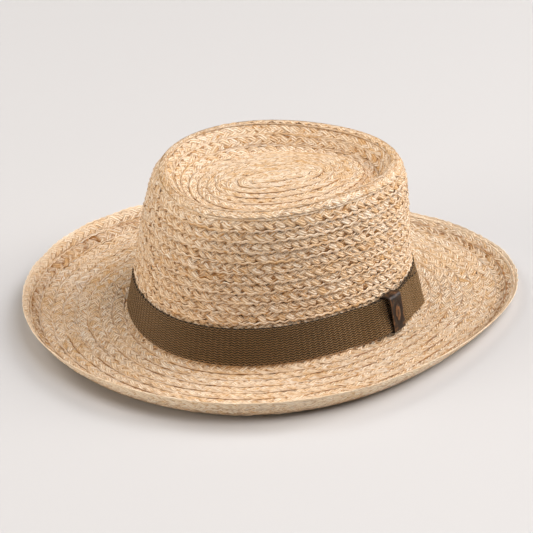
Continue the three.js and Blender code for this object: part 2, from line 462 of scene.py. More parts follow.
@dataclass(frozen=True)
class Raffia:
    """Bleached raffia palm, split and plaited by hand, left matt.

    The eye sees dry, pale gold fibre with a dull sheen along its length, streaks of
    orange tan where the leaf was thicker, and darker edges where strands dive under,
    which is painted shade, and a paler rim, which is partly painted light.
    """

    pale: str = "#FCF0DC"
    straw: str = "#FAE6C9"
    tan: str = "#E1B882"
    deep: str = "#865008"
    fleck: str = "#C08A48"
    # How long and how wide each pattern is, in millimetres. Leaf colour changes over
    # about 60 mm of a strand. Fibres are about 0.3 mm wide, and are drawn 1 mm wide, or
    # they would not show. Dry cracks and fibre ends show as dashes, 2 to 3 mm long.
    leaf_size: tuple[float, float] = (60.0, 20.0)
    fibre_size: tuple[float, float] = (8.0, 1.0)
    fleck_size: tuple[float, float] = (2.5, 0.9)
    # A leaf is split into ribbons about 1 mm wide before it is plaited. They are drawn
    # 1.7 mm wide, or they would not show.
    ribbon: float = 1.7
    # From which value of a pattern to which its colour shows, and how strong it is there.
    fibre_range: Range = (0.46, 0.68, 0.0, 0.85)
    split_range: Range = (0.0, 0.42, 0.44, 0.0)
    fleck_range: Range = (0.55, 0.68, 0.0, 0.9)
    # Less gloss where the gaps are painted dark, so that their painted shade stays warm.
    gloss_range: Range = (0.0, 0.6, 0.5, 0.1)
    fibre_height: float = 0.8
    bump: float = 0.0003
    roughness: float = 0.55
    ior: float = 1.45

    def material(self) -> bpy.types.Material:
        """Builds the material.

        Returns:
            The material. It reads each point's fibre attribute, which is millimetres
            along and across its strand, and its dive attribute, which is how much painted
            shade the gap has there, or below zero, how much the point is worn pale and painted light.
        """
        material, tree, shader = new_material(
            "plaited_raffia", {"Roughness": self.roughness, "IOR": self.ior},
        )
        fibre = add_node(tree, "ShaderNodeAttribute", {"attribute_name": "fibre"})
        dive = add_node(tree, "ShaderNodeAttribute", {"attribute_name": "dive"})
        noises = []
        for (length, width), grain in (
            (self.leaf_size, {"Detail": 2.0, "Roughness": 0.6}),
            (self.fibre_size, {"Detail": 3.0, "Roughness": 0.65}),
            (self.fleck_size, {"Detail": 1.0}),
        ):
            stretched = add_node(
                tree, "ShaderNodeMapping", values={"Scale": (1 / length, 1 / width, 1.0)},
                links={"Vector": fibre.outputs["Vector"]},
            )
            noises.append(add_node(
                tree, "ShaderNodeTexNoise", values={"Scale": 1.0, **grain},
                links={"Vector": stretched.outputs[0]},
            ))
        leaf, streak, fleck = noises
        split = add_node(
            tree, "ShaderNodeTexWave",
            {"wave_type": "BANDS", "bands_direction": "Y", "wave_profile": "SIN"},
            {"Scale": WAVE_SPACING / self.ribbon, "Distortion": 2.6, "Detail": 2.0,
             "Detail Scale": 0.25},
            {"Vector": fibre.outputs["Vector"]},
        )
        streaks, grooves, dashes, gloss = [
            add_node(
                tree, "ShaderNodeMapRange", values=dict(zip(RANGE, limits)),
                links={"Value": pattern.outputs["Fac"]},
            )
            for pattern, limits in (
                (streak, self.fibre_range), (split, self.split_range),
                (fleck, self.fleck_range), (dive, self.gloss_range),
            )
        ]
        rub_and_light = add_node(
            tree, "ShaderNodeMath", {"operation": "MULTIPLY", "use_clamp": True}, {1: -1.0},
            {0: dive.outputs["Fac"]},
        )
        colour = add_node(
            tree, "ShaderNodeValToRGB", links={"Fac": leaf.outputs["Fac"]},
            stops=[
                (0.30, linear(self.pale)), (0.52, linear(self.straw)), (0.74, linear(self.tan)),
            ],
        ).outputs["Color"]
        # The last two layers are painted: shade in the gaps and the lip's fold, and light on the worn
        # rim.
        for amount, tint in (
            (streaks.outputs[0], self.tan), (grooves.outputs[0], self.deep),
            (dashes.outputs[0], self.fleck), (dive.outputs["Fac"], self.deep),
            (rub_and_light.outputs[0], self.straw),
        ):
            colour = add_node(
                tree, "ShaderNodeMix", {"data_type": "RGBA"}, {OVER: linear(tint)},
                {FACTOR: amount, UNDER: colour},
            ).outputs[MIXED]
        ridges = add_node(
            tree, "ShaderNodeMath", {"operation": "MULTIPLY_ADD"}, {1: self.fibre_height},
            {0: streak.outputs["Fac"], 2: split.outputs["Fac"]},
        )
        bump = add_node(
            tree, "ShaderNodeBump", values={"Strength": 1.0, "Distance": self.bump},
            links={"Height": ridges.outputs[0]},
        )
        feed(tree, shader, {
            "Base Color": colour, "Normal": bump.outputs[0],
            "Specular IOR Level": gloss.outputs[0],
        })
        return material


@dataclass
class RaffiaBraid:
    """One long three-strand braid, sewn in a spiral from the tip to the brim's edge.

    Each row laps over the next one outwards, so its outer edge stands up like a cord. The
    small noises in its methods are the unevenness of handwork.
    """

    surface: HatSurface
    finish: Raffia = Raffia()
    # The spiral. It starts half a turn early, across the middle of the tip.
    pitch: float = 7.4
    last_row: float = 5.2
    early: float = 0.5
    lead_in: float = 3.0
    end_angle: float = math.radians(165)
    turn_samples: int = 720
    step: float = 1.75
    # The plait, and how its rows lap. The flat sizes are those of a row that was pressed
    # on the block. On the wall it is fully raised from full_height up.
    strands: int = 3
    plait_length: float = 21.0
    swing: float = 2.8
    weave_depth: float = 0.45
    flat_depth: float = 0.11
    lap: float = 0.205
    flat_lap: float = 0.075
    full_height: float = 30.0
    sink: float = 1.25
    # A strand slides round the hat to stay beside the line, but little in tight turns.
    tightest: float = 4.0
    most_slide: float = 0.4
    # A strand, the cord along a row's outer edge, and the strip inside the plait.
    sides: int = 8
    strand_width: float = 4.9
    strand_thickness: float = 0.86
    cord_sides: int = 6
    cord_width: float = 1.85
    cord_thickness: float = 1.15
    cord_place: float = 1.75
    scallop: float = 0.5
    filler_sides: int = 4
    filler_width: float = 8.2
    filler_thickness: float = 0.35
    filler_steps: int = 4
    # In its last turn the braid narrows by a share and goes down under the row before it.
    end_narrowing: float = 0.45
    end_depth: float = 0.7
    # How much painted shade a strand gets where it goes under, with more on its upper
    # side, along its edges, and in the fold of the lip. Then the same for the cord and the strip.
    under_dark: float = 0.28
    upper_dark: float = 0.2
    edge_dark: float = 0.4
    fold_dark: float = 0.4
    cord_dark: float = 0.8
    cord_fold_dark: float = 0.55
    filler_dark: float = 0.4
    # How far the lip fold's painted shade reaches; how far the painted shade is cut back on the
    # ridge, the middle and the rim, and how much it takes away or leaves; and how much the rim is worn
    # pale and painted light.
    crease_reach: float = 2.3
    ridge_reach: float = 9.0
    ridge_shade_cut: float = 0.5
    middle_reach: float = 7.0
    middle_shade_cut: float = 0.6
    rim_reach: float = 3.5
    rim_dark: float = 0.15
    rim_rub_and_light: float = 0.6
    # Numbers that set the fibre patterns of the strands, the cord and the strip apart.
    strand_pattern: float = 17.3
    cord_pattern: float = 71.9
    filler_pattern: float = 93.1
    seed: int = 11

    def spiral(self) -> Arrays:
        """Lays the braid's middle line.

        Returns:
            Distance along the braid, place, angle and number of the turn, at even steps.
        """
        start = self.surface.length
        winding = (start - self.last_row) / self.pitch
        total = winding + 1
        turn = np.linspace(-self.early, total, int(total * self.turn_samples))
        place = np.clip(start - self.pitch * turn, self.last_row, start + self.lead_in)
        angle = 2 * np.pi * (turn - total) + self.end_angle
        run, along = even_steps(self.surface.point(place, angle), self.step)
        place, angle, turn = [np.interp(along, run, values) for values in (place, angle, turn)]
        return along, place, angle, turn - winding

    def strand_line(
        self, place: np.ndarray, angle: np.ndarray, aside: np.ndarray, rise: np.ndarray,
    ) -> Arrays:
        """Moves the braid's middle line aside over the surface and off it.

        Args:
            place: the middle line's places.
            angle: the middle line's angles.
            aside: distances towards the tip.
            rise: distances out of the wall's middle.

        Returns:
            The strand's points, and the surface's normals under them.
        """
        middle = self.surface.point(place, angle)
        around = self.surface.point(place, angle + PROBE_TURN)
        around = (around - self.surface.point(place, angle - PROBE_TURN)) / (2 * PROBE_TURN)
        speed = np.maximum(np.linalg.norm(around, axis=1), self.tightest)
        moved = self.surface.point(place + aside, angle) - middle
        slide = np.sum(moved * around, axis=1) / speed ** 2
        angle = angle - np.clip(slide, -self.most_slide, self.most_slide)
        points = self.surface.point(place + aside, angle)
        normal = self.surface.normal(place + aside, angle)
        return points + normal * (rise - self.sink)[:, None], normal

    def relief(self, place: np.ndarray) -> np.ndarray:
        """How raised the plait is: 1 on the crown's wall, 0 where it was pressed flat."""
        high = self.surface.wall_place(self.full_height)
        return smoothstep(place, self.surface.place_of("flat_inner"), high) * (1 - self.pressed(place))

    def pressed(self, place: np.ndarray) -> np.ndarray:
        """How far a row was pressed flat on the block: 0 on the wall, 1 from the ridge in."""
        start = self.surface.place_of("shoulder") + 2
        return smoothstep(place, start, self.surface.place_of("ridge"))

    def crease(self, place: np.ndarray) -> np.ndarray:
        """How close a row is to the fold where the lip turns up, where shade is painted."""
        return np.exp(-((place - self.surface.place_of("lip_foot")) / self.crease_reach) ** 2)

    def upper_side(self, sides: int) -> np.ndarray:
        """Which points of a section face out of the hat, as a row of 0 and 1."""
        return (np.sin(2 * np.pi * (np.arange(sides) + 0.5) / sides) > 0).astype(float)[None, :]

    def darkness(self, place: np.ndarray) -> np.ndarray:
        """How much painted shade the gaps get: less on the rim, the ridge and the middle.

        Args:
            place: distances from the brim's edge over the surface.

        Returns:
            Shares from 0 to 1.
        """
        inside = smoothstep(place, self.last_row - 2, self.last_row + 6)
        rim = self.rim_dark + (1 - self.rim_dark) * inside
        ridge = np.exp(-((place - self.surface.place_of("ridge")) / self.ridge_reach) ** 2)
        middle = np.exp(-((place - self.surface.length) / self.middle_reach) ** 2)
        return rim * (1 - self.ridge_shade_cut * ridge - self.middle_shade_cut * middle)

    def rubbed_and_lit(self, place: np.ndarray) -> np.ndarray:
        """How much the straw is worn pale and painted light: most on the outer face of the rim."""
        start = self.last_row - self.rim_reach
        return self.rim_rub_and_light * (1 - smoothstep(place, start, self.last_row + self.rim_reach))

    def lean(self, place: np.ndarray) -> np.ndarray:
        """How steeply the rows lap over each other."""
        return self.flat_lap + (self.lap - self.flat_lap) * self.relief(place)

    def ending(self, last: np.ndarray) -> Arrays:
        """How the braid narrows in its last turn, and how deep it goes under."""
        narrow = 1 - self.end_narrowing * smoothstep(last, 0.55, 1.0)
        return narrow, self.end_depth * smoothstep(last, 0.0, 1.0)

    def fibre_of(self, along: np.ndarray, x: np.ndarray, pattern: float) -> np.ndarray:
        """Fibre coordinates of sections: along and across the strand, and its pattern."""
        along = np.repeat(along[:, None], x.shape[1], axis=1)
        return np.stack([along, x, np.full_like(x, pattern)], axis=2)

    def section(
        self, line: np.ndarray, normal: np.ndarray, roll: np.ndarray, width: np.ndarray,
        thick: np.ndarray, sides: int, rng: np.random.Generator,
    ) -> Arrays:
        """Wraps flattened sections round a strand's middle line.

        Args:
            line: the middle line's points.
            normal: the surface's normals under them.
            roll: how much each section leans.
            width: the sections' widths.
            thick: their thicknesses.
            sides: points in a section.
            rng: the seeded generator.

        Returns:
            Points, count by sides by 3, and how far across each one lies.
        """
        count = len(line)
        tangent = unit(np.gradient(line, axis=0))
        outwards = unit(np.cross(tangent, normal))
        up = unit(np.cross(outwards, tangent))
        side = unit(outwards + up * roll[:, None])
        top = unit(np.cross(side, tangent))
        corner = 2 * np.pi * (np.arange(sides) + 0.5) / sides
        across = np.sign(np.cos(corner)) * np.abs(np.cos(corner)) ** 0.8
        rising = np.sign(np.sin(corner)) * np.abs(np.sin(corner)) ** 0.9
        ridges = np.stack([smooth_noise(rng, count, 2.5) for _ in corner], axis=1)
        x = across[None, :] * width[:, None] / 2
        y = rising[None, :] * thick[:, None] / 2 * (1 + 0.22 * ridges)
        points = line[:, None, :] + side[:, None, :] * x[..., None] + top[:, None, :] * y[..., None]
        return points, x

    def strand(
        self, number: int, spiral: Arrays, phase: np.ndarray, rng: np.random.Generator,
    ) -> Arrays:
        """Builds one strand of the braid.

        Args:
            number: which of the strands.
            spiral: what spiral() returns.
            phase: how far the plait has turned along the spiral.
            rng: the seeded generator.

        Returns:
            Its points, row by row, their fibre coordinates, and their dive: how much painted
            shade the gap has there, or below zero, how much the point is worn pale and painted light.
        """
        along, place, angle, last = spiral
        count = len(along)
        phase = phase + 2 * np.pi * number / self.strands + 0.22 * smooth_noise(rng, count, 5)
        relief = self.relief(place)
        depth = self.flat_depth + (self.weave_depth - self.flat_depth) * relief
        narrow, under = self.ending(last)
        swing = self.swing * (1 + 0.10 * smooth_noise(rng, count, 4)) * narrow
        fold = (np.sin(phase) - np.sin(3 * phase) / 9) * 0.9
        aside = swing * fold + 0.2 * smooth_noise(rng, count, 6)
        lean = self.lean(place)
        rise = depth * np.sin(2 * phase) - lean * aside - under
        rise = rise + (0.03 + 0.08 * relief) * smooth_noise(rng, count, 2.5)
        line, normal = self.strand_line(place, angle, aside, rise)
        roll = lean + (0.04 + 0.14 * relief) * smooth_noise(rng, count, 3)
        width = self.strand_width * (1 + 0.12 * smooth_noise(rng, count, 3)) * narrow
        thick = self.strand_thickness * (0.6 + 0.4 * relief)
        thick = thick * (1 + 0.1 * smooth_noise(rng, count, 5))
        points, x = self.section(line, normal, roll, width, thick, self.sides, rng)
        fibre = self.fibre_of(along, x, self.strand_pattern * number)
        # Painted shade where the strand goes under another one, and along its edges, a little more on
        # the wall.
        upper = self.upper_side(self.sides)
        sunk = (1 - 2 * upper) * np.sin(2 * phase)[:, None]
        deep = smoothstep(sunk, -0.3, 0.95) * (self.under_dark + self.upper_dark * upper)
        edge = (np.abs(x) / (width[:, None] / 2)) ** 2.5 * self.edge_dark
        dive = (deep + edge) * (0.7 + 0.3 * relief[:, None]) + 0.04 * relief[:, None]
        local = (place + aside)[:, None] + x
        # Painted shade in the lip's fold on the upper side; less painted shade on the rim, ridge and
        # middle, and painted light on the worn rim.
        spotted = self.fold_dark + 0.2 * smooth_noise(rng, count, 1.5)[:, None]
        painted_shade = self.crease(local) * spotted
        dive = (dive + painted_shade * upper) * self.darkness(local)
        return points, fibre, np.clip(dive, 0, 0.95) - self.rubbed_and_lit(local)

    def edge_cord(
        self, spiral: Arrays, phase: np.ndarray, rng: np.random.Generator,
    ) -> Arrays:
        """Builds the folds of the strands along a row's outer edge, as one wavy cord.

        Args:
            spiral: what spiral() returns.
            phase: how far the plait has turned along the spiral.
            rng: the seeded generator.

        Returns:
            The same as strand().
        """
        along, place, angle, last = spiral
        count = len(along)
        relief = self.relief(place)
        narrow, under = self.ending(last)
        wave = np.cos(self.strands * (phase + np.pi / 2))
        aside = -(self.swing + self.cord_place) * narrow
        aside = aside - self.scallop * (0.5 + 0.5 * relief) * wave
        aside = aside + 0.15 * smooth_noise(rng, count, 3)
        lean = self.lean(place)
        rise = 0.04 + 0.3 * relief - lean * aside - under + 0.2 * wave * relief
        rise = rise + 0.12 * relief * smooth_noise(rng, count, 3)
        line, normal = self.strand_line(place, angle, aside, rise)
        width = self.cord_width * (1 + 0.2 * smooth_noise(rng, count, 2.5))
        thick = self.cord_thickness * (0.5 + 0.5 * relief)
        thick = thick * (1 + 0.12 * smooth_noise(rng, count, 3))
        roll = lean + 0.15 * smooth_noise(rng, count, 4)
        points, x = self.section(line, normal, roll, width, thick, self.cord_sides, rng)
        fibre = self.fibre_of(along, x, self.cord_pattern)
        # Painted shade on the side towards the plait, in a broken line, and a little in the wave's
        # dips.
        inner_side = np.maximum(x / self.cord_width * 2, 0)
        broken = np.clip(0.7 + 0.45 * smooth_noise(rng, count, 1.2), 0, 1.2)[:, None]
        dive = 0.05 + 0.12 * wave[:, None] + self.cord_dark * inner_side * broken
        local = (place + aside)[:, None] + x
        # Painted shade in the lip's fold, and painted light on the worn rim.
        painted_shade = self.cord_fold_dark * broken * self.crease(local)
        dive = (dive + painted_shade * self.upper_side(self.cord_sides)) * self.darkness(local)
        return points, fibre, np.clip(dive, 0, 0.9) - self.rubbed_and_lit(local)

    def filler(self, spiral: Arrays, rng: np.random.Generator) -> Arrays:
        """Builds the dark splits that show through the plait, as one flat strip in it.

        Args:
            spiral: what spiral() returns.
            rng: the seeded generator.

        Returns:
            The same as strand(), but for every filler_steps-th row of points, and with
            nothing worn pale or painted light.
        """
        along, place, angle, last = (values[::self.filler_steps] for values in spiral)
        count = len(along)
        narrow, under = self.ending(last)
        lean = self.lean(place)
        aside = np.full(count, -0.4)
        rise = -0.1 - lean * aside - under
        line, normal = self.strand_line(place, angle, aside, rise)
        width = self.filler_width * narrow
        thick = np.full(count, self.filler_thickness)
        points, x = self.section(line, normal, lean, width, thick, self.filler_sides, rng)
        # Painted shade, darker on the upper side.
        dark = self.filler_dark * (1 + self.upper_side(self.filler_sides))
        fibre = self.fibre_of(along, x, self.filler_pattern)
        return points, fibre, dark * self.darkness(place)[:, None]

    def zones(self, place: np.ndarray) -> dict[Zone, tuple[int, int]]:
        """Where along the spiral each zone starts and ends.

        Args:
            place: the middle line's places.

        Returns:
            First and last row of points, by zone.
        """
        # The pieces meet inside the ridge, high on the wall, behind the band's lower edge,
        # where the CAD parts the crown from the brim, and halfway out on the brim.
        limits = [
            self.surface.place_of("inner_slope"), self.surface.wall_place(70),
            self.surface.wall_place(9), self.surface.place_of("flat_middle") - 3,
        ]
        cuts = [0] + [int(np.argmax(place < limit)) for limit in limits] + [len(place) - 1]
        return {zone: (cuts[i], cuts[i + 1]) for i, zone in enumerate(Zone)}

    def build(self) -> None:
        """Builds the braid, one piece per zone."""
        rng = np.random.default_rng(self.seed)
        spiral = self.spiral()
        count = len(spiral[0])
        phase = 2 * np.pi * spiral[0] / self.plait_length + 0.5 * smooth_noise(rng, count, 16)
        strands = [
            (self.strand(number, spiral, phase, rng), 1) for number in range(self.strands)
        ]
        strands.append((self.edge_cord(spiral, phase, rng), 1))
        strands.append((self.filler(spiral, rng), self.filler_steps))
        material = self.finish.material()
        for zone, (first, last) in self.zones(spiral[1]).items():
            name, node = zone.value
            points, fibres, dives, faces = [], [], [], []
            for (line, fibre, dive), steps in strands:
                part = slice(-(-first // steps), last // steps + 1)
                start = sum(map(len, points))
                faces.extend(tube_faces(len(line[part]), line.shape[1], start))
                points.append(line[part].reshape(-1, 3))
                fibres.append(fibre[part].reshape(-1, 3))
                dives.append(dive[part].ravel())
            attributes = {"fibre": np.concatenate(fibres), "dive": np.concatenate(dives)}
            piece = mesh_object(name, np.concatenate(points), faces, attributes)
            place_piece(piece, material, Slot.STRAW, node)
        LOG.info("braid: %.1f m long", spiral[0][-1] * MM)


@dataclass(frozen=True)
class CottonWebbing:
    """Khaki cotton webbing, woven in herringbone, light threads over dark ones.

    The eye sees rows of fine zigzags on dark brown, and where the cloth turns away a
    pale tan bloom from the loose ends of its fibres. There is no gloss.
    """

    thread: str = "#76582E"
    ground: str = "#0E0803"
    bloom: str = "#FFD9B0"
    # The weave: the rows' spacing, a zigzag's length and its slope, in millimetres.
    row: float = 1.73
    zigzag: float = 3.9
    slope: float = 0.5
    # How much the rows, the threads' loose ends and the worn patches vary the colour, and
    # how long and how wide the last two are, in millimetres. Loose ends are finer, and are
    # drawn 0.9 mm long, or they would not show.
    row_share: float = 0.65
    speck_share: float = 0.7
    speck_size: tuple[float, float] = (0.9, 0.7)
    patch_share: float = 0.35
    patch_size: tuple[float, float] = (25.0, 12.0)
    thread_range: Range = (1.15, 2.25, 0.0, 1.0)
    bump: float = 0.0005
    roughness: float = 0.92
    ior: float = 1.5
    specular: float = 0.25
    sheen: float = 0.66
    sheen_roughness: float = 0.46

    def zigzag_of(self, along: np.ndarray) -> np.ndarray:
        """How far up a row's zigzag lies, from the distance along the cloth."""
        half = self.zigzag / 2
        return self.slope * (half - np.abs(along % self.zigzag - half))

    def material(self) -> bpy.types.Material:
        """Builds the material.

        Returns:
            The material, which reads the cloth attribute (mm along and mm up) and the
            pale attribute (0 in the dark selvedge, 1 in the middle, more where worn or
            painted light, less under the keeper's painted shade).
        """
        material, tree, shader = new_material("herringbone_cotton_webbing", {
            "Roughness": self.roughness, "IOR": self.ior, "Specular IOR Level": self.specular,
            "Sheen Weight": self.sheen, "Sheen Roughness": self.sheen_roughness,
            "Sheen Tint": linear(self.bloom),
        })
        cloth = add_node(tree, "ShaderNodeAttribute", {"attribute_name": "cloth"})
        pale = add_node(tree, "ShaderNodeAttribute", {"attribute_name": "pale"})
        axes = add_node(tree, "ShaderNodeSeparateXYZ", links={0: cloth.outputs["Vector"]})
        # The same rows as in the mesh: folded along the cloth, then repeated up it.
        value = axes.outputs["X"]
        for operation, values, links in (
            ("PINGPONG", {1: self.zigzag / 2}, {}),
            ("MULTIPLY_ADD", {1: self.slope}, {2: axes.outputs["Y"]}),
            ("MULTIPLY", {1: 2 * math.pi / self.row}, {}),
            ("COSINE", {}, {}),
            ("MULTIPLY_ADD", {1: self.row_share}, {2: pale.outputs["Fac"]}),
        ):
            value = add_node(
                tree, "ShaderNodeMath", {"operation": operation}, values, {0: value, **links},
            ).outputs[0]
        for (length, width), share in (
            (self.speck_size, self.speck_share), (self.patch_size, self.patch_share),
        ):
            stretched = add_node(
                tree, "ShaderNodeMapping", values={"Scale": (1 / length, 1 / width, 1.0)},
                links={"Vector": cloth.outputs["Vector"]},
            )
            noise = add_node(
                tree, "ShaderNodeTexNoise", values={"Scale": 1.0, "Detail": 2.0},
                links={"Vector": stretched.outputs[0]},
            )
            value = add_node(
                tree, "ShaderNodeMath", {"operation": "MULTIPLY_ADD"}, {1: share},
                {0: noise.outputs["Fac"], 2: value},
            ).outputs[0]
        threads = add_node(
            tree, "ShaderNodeMapRange", values=dict(zip(RANGE, self.thread_range)),
            links={"Value": value},
        )
        colour = add_node(
            tree, "ShaderNodeMix", {"data_type": "RGBA"},
            {UNDER: linear(self.ground), OVER: linear(self.thread)}, {FACTOR: threads.outputs[0]},
        )
        bump = add_node(
            tree, "ShaderNodeBump", values={"Strength": 1.0, "Distance": self.bump},
            links={"Height": value},
        )
        feed(tree, shader, {"Base Color": colour.outputs[MIXED], "Normal": bump.outputs[0]})
        return material


@dataclass
class WebbingBand:
    """The band: one strip round the crown, its tail lying over its own hidden end.

    Its angles are in degrees round from the front, and keep counting past a turn.
    """

    surface: HatSurface
    finish: CottonWebbing = CottonWebbing()
    bottom: float = 5.6
    top: float = 31.2
    thickness: float = 1.3
    gap: float = 0.3
    leather: float = 1.3
    keeper_angle: float = -51.8
    tail_start: float = -62
    tail_end: float = -27
    # How many degrees the band takes to climb its hidden end, how many it stands off each
    # side of the keeper, and how far its tail lifts.
    climb: float = 12.5
    bulge_flat: float = 6
    bulge_reach: float = 17.5
    flare: float = 2.4
    flare_reach: float = 12.0
    # The depth of the weave, and the width, roundness and paleness of the edges.
    relief: float = 0.36
    selvedge: float = 0.9
    selvedge_pale: float = 0.35
    edge_bulge: float = 0.35
    edge_round: float = 0.7
    edge_depth: float = 0.4
    # The tail is worn pale and painted light from the keeper on. A painted sheen lightens the
    # cloth as it nears the keeper, and painted shade lies under the keeper, fading out between these
    # degrees from it.
    rubbed_and_lit: float = 0.5
    rubbed_and_lit_fade: float = 2
    painted_sheen: float = 0.18
    painted_sheen_from: float = 262
    painted_sheen_to: float = 300
    painted_shade: tuple[float, float] = (3.4, 4.6)
    step: float = 0.52
    samples: int = 4000
    face_rows: int = 60
    back_rows: int = 8

    def from_keeper(self, degrees: np.ndarray) -> np.ndarray:
        """How many degrees angles lie from the keeper, to either side."""
        return np.abs((degrees - self.keeper_angle + 180) % 360 - 180)

    def stand_off(self, degrees: np.ndarray) -> np.ndarray:
        """How far the band's inner face stands off the wall.

        Args:
            degrees: angles round from the front.

        Returns:
            Distances in millimetres.
        """
        climb = smoothstep(degrees, self.tail_start + 360 - self.climb, self.tail_start + 360)
        bulge = 1 - smoothstep(self.from_keeper(degrees), self.bulge_flat, self.bulge_reach)
        lifted = climb * (self.thickness + self.gap)
        return self.gap + lifted + bulge * (self.leather + 2 * self.gap)

    def paleness(self, turn: np.ndarray, inwards: np.ndarray) -> np.ndarray:
        """How pale the cloth is.

        Args:
            turn: angles round from the front.
            inwards: distances from the nearer edge.

        Returns:
            0 where it is dark, 1 in the middle, more where it is worn or painted light, less under the
            keeper's painted shade.
        """
        inside = smoothstep(inwards, 0.0, self.selvedge)
        inside = self.selvedge_pale + (1 - self.selvedge_pale) * inside
        # The tail is worn pale and painted light; painted shade lies under the keeper, and a painted
        # sheen before it.
        tail = smoothstep(turn, self.keeper_angle + (360 - self.rubbed_and_lit_fade),
                          self.keeper_angle + (360 + self.rubbed_and_lit_fade))
        # Painted shade under the keeper's loop.
        keeper_shade = 1 - smoothstep(self.from_keeper(turn), *self.painted_shade)
        painted_sheen = self.painted_sheen * smoothstep(turn, self.painted_sheen_from, self.painted_sheen_to) * (1 - tail)
        return inside + painted_sheen + self.rubbed_and_lit * tail - keeper_shade

    def build(self) -> None:
        """Builds the strip with its woven relief."""
        end = self.tail_end + 360
        degrees = np.linspace(self.tail_start, end, self.samples)
        low = self.surface.wall_place(self.bottom)
        high = self.surface.wall_place(self.top)
        middle = np.full_like(degrees, (low + high) / 2)
        line = self.surface.point(middle, np.radians(degrees))
        run, along = even_steps(line, self.step)
        degrees = np.interp(along, run, degrees)
        height = high - low
        face = np.linspace(0, height, self.face_rows)
        back = np.zeros(self.back_rows)
        up = np.concatenate([face, [height], np.linspace(height, 0, self.back_rows), [0.0]])
        depth = np.concatenate([np.full(self.face_rows, 1.0), [0.5], back, [0.5]])
        bulge = np.concatenate([np.zeros_like(face), [self.edge_bulge], back, [-self.edge_bulge]])
        rounding = 1 - np.minimum(1, np.minimum(face, height - face) / self.edge_round)
        rounding = np.concatenate([rounding, [0.0], back, [0.0]])
        a, v = np.meshgrid(along, up, indexing="ij")
        turn = np.repeat(degrees[:, None], len(up), axis=1)
        flare = self.flare * smoothstep(turn, end - self.flare_reach, end)
        crest = 0.5 + 0.5 * np.cos(2 * np.pi * (v + self.finish.zigzag_of(a)) / self.finish.row)
        sunk = self.relief * (1 - crest) + self.edge_depth * rounding[None, :] ** 2
        sunk = np.where(depth[None, :] == 1.0, sunk, 0)
        offset = self.stand_off(turn) + depth[None, :] * self.thickness - sunk + flare
        places = (low + v + bulge[None, :]).ravel()
        angles = np.radians(turn.ravel())
        points = self.surface.point(places, angles)
        points = points + self.surface.normal(places, angles) * offset.reshape(-1, 1)
        pale = self.paleness(turn, np.minimum(v, height - v))
        cloth = np.stack([a.ravel(), v.ravel(), np.zeros(a.size)], axis=1)
        attributes = {"cloth": cloth, "pale": pale.ravel()}
        piece = mesh_object("webbing_band", points, tube_faces(len(along), len(up)), attributes)
        place_piece(piece, self.finish.material(), Slot.BAND, "hat_band")


@dataclass(frozen=True)
class PullUpLeather:
    """Dark brown oiled cowhide, cut and folded, its edges worn paler and given a painted highlight.
    The eye sees a soft satin brown that lightens where the loop is bent or scuffed, with painted
    highlights on its rim and its raised ring.
    """

    hide: str = "#1A0B04"
    scuff: str = "#9E6C42"
    # Patterns per metre. Grain cells are about 0.4 mm wide, and are drawn 0.7 mm wide, or
    # they would not show. Scuffs are about 4 mm across.
    grain: float = 1400.0
    scuffs: float = 260.0
    scuff_share: float = 1.1
    scuff_range: Range = (0.58, 1.1, 0.0, 0.9)
    bump: float = 0.0002
    roughness: float = 0.5
    ior: float = 1.5

    def material(self) -> bpy.types.Material:
        """Builds the material.

        Returns:
            The material, which reads the wear attribute: more where worn paler or given a painted
            highlight, less where dark.
        """
        material, tree, shader = new_material(
            "pull_up_leather", {"Roughness": self.roughness, "IOR": self.ior},
        )
        wear_and_highlight = add_node(tree, "ShaderNodeAttribute", {"attribute_name": "wear_and_highlight"})
        place = add_node(tree, "ShaderNodeTexCoord")
        grain = add_node(
            tree, "ShaderNodeTexVoronoi", values={"Scale": self.grain},
            links={"Vector": place.outputs["Object"]},
        )
        cloud = add_node(
            tree, "ShaderNodeTexNoise",
            values={"Scale": self.scuffs, "Detail": 4.0, "Roughness": 0.65},
            links={"Vector": place.outputs["Object"]},
        )
        rub = add_node(
            tree, "ShaderNodeMath", {"operation": "MULTIPLY_ADD"}, {1: self.scuff_share},
            {0: cloud.outputs["Fac"], 2: wear_and_highlight.outputs["Fac"]},
        )
        amount = add_node(
            tree, "ShaderNodeMapRange", values=dict(zip(RANGE, self.scuff_range)),
            links={"Value": rub.outputs[0]},
        )
        colour = add_node(
            tree, "ShaderNodeMix", {"data_type": "RGBA"},
            {UNDER: linear(self.hide), OVER: linear(self.scuff)}, {FACTOR: amount.outputs[0]},
        )
        bump = add_node(
            tree, "ShaderNodeBump", values={"Strength": 0.4, "Distance": self.bump},
            links={"Height": grain.outputs["Distance"]},
        )
        feed(tree, shader, {"Base Color": colour.outputs[MIXED], "Normal": bump.outputs[0]})
        return material


